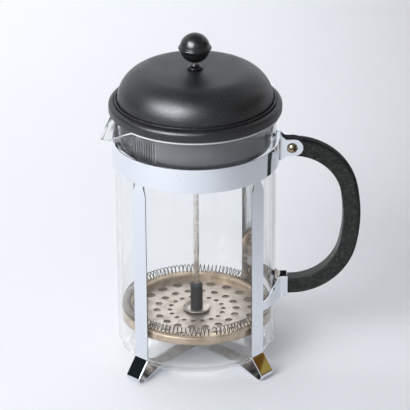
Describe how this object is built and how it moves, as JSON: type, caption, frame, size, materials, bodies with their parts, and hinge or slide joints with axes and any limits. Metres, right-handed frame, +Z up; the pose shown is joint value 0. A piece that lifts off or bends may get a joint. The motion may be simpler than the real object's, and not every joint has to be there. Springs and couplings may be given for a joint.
{
  "type": "french press",
  "caption": "French press: glass beaker with a spout in a chromed strap frame with feet and a black side handle, domed lid with strainer, and a knobbed plunger with a sprung mesh filter.",
  "frame": {"origin": "on the beaker's axis, at the table the feet stand on", "axes": "+Z up along the plunger rod, +X towards the handle"},
  "size_m": [0.1893, 0.1244, 0.252],
  "materials": {
    "chrome": "polished",
    "handle_plastic": "fine grain",
    "screw_metal": "nickel plated",
    "glass": "clear",
    "lid_plastic": "satin",
    "knob_plastic": "gloss",
    "insert_brass": "turned",
    "steel": "bright",
    "mesh_steel": "woven",
    "sleeve_plastic": "satin"
  },
  "bodies": {
    "frame": {"clamp_band": "chrome", "leg_strap_upper": "chrome", "leg_strap_lower": "chrome", "bracket_front": "chrome", "bracket_rear": "chrome", "handle": "handle_plastic", "handle_screw": "screw_metal", "handle_nut": "steel"},
    "beaker": {"glass_beaker": "glass"},
    "lid_guide": {"rod_guide": "knob_plastic"},
    "lid": {"lid_dome": "lid_plastic", "lid_strainer": "lid_plastic"},
    "plunger": {"knob": "knob_plastic", "knob_insert": "insert_brass", "plunger_rod": "steel", "rod_sleeve": "sleeve_plastic", "cup_washer": "steel", "spiral_plate": "steel", "spring_coil": "steel", "mesh_disc": "mesh_steel", "cross_plate": "steel", "filter_nut": "steel"}
  },
  "joints": [
    {"name": "beaker_lift", "type": "slide", "parent": "frame", "child": "beaker", "axis": [0, 0, 1], "range_m": [0, 0.18]},
    {"name": "lid_lift", "type": "slide", "parent": "beaker", "child": "lid_guide", "axis": [0, 0, 1], "range_m": [0, 0.2]},
    {"name": "lid_turn", "type": "hinge", "parent": "lid_guide", "child": "lid", "pos_m": [0, 0, 0.2], "axis": [0, 0, 1], "continuous": true},
    {"name": "plunger_slide", "type": "slide", "parent": "lid_guide", "child": "plunger", "axis": [0, 0, 1], "range_m": [-0.0013, 0.122]}
  ]
}
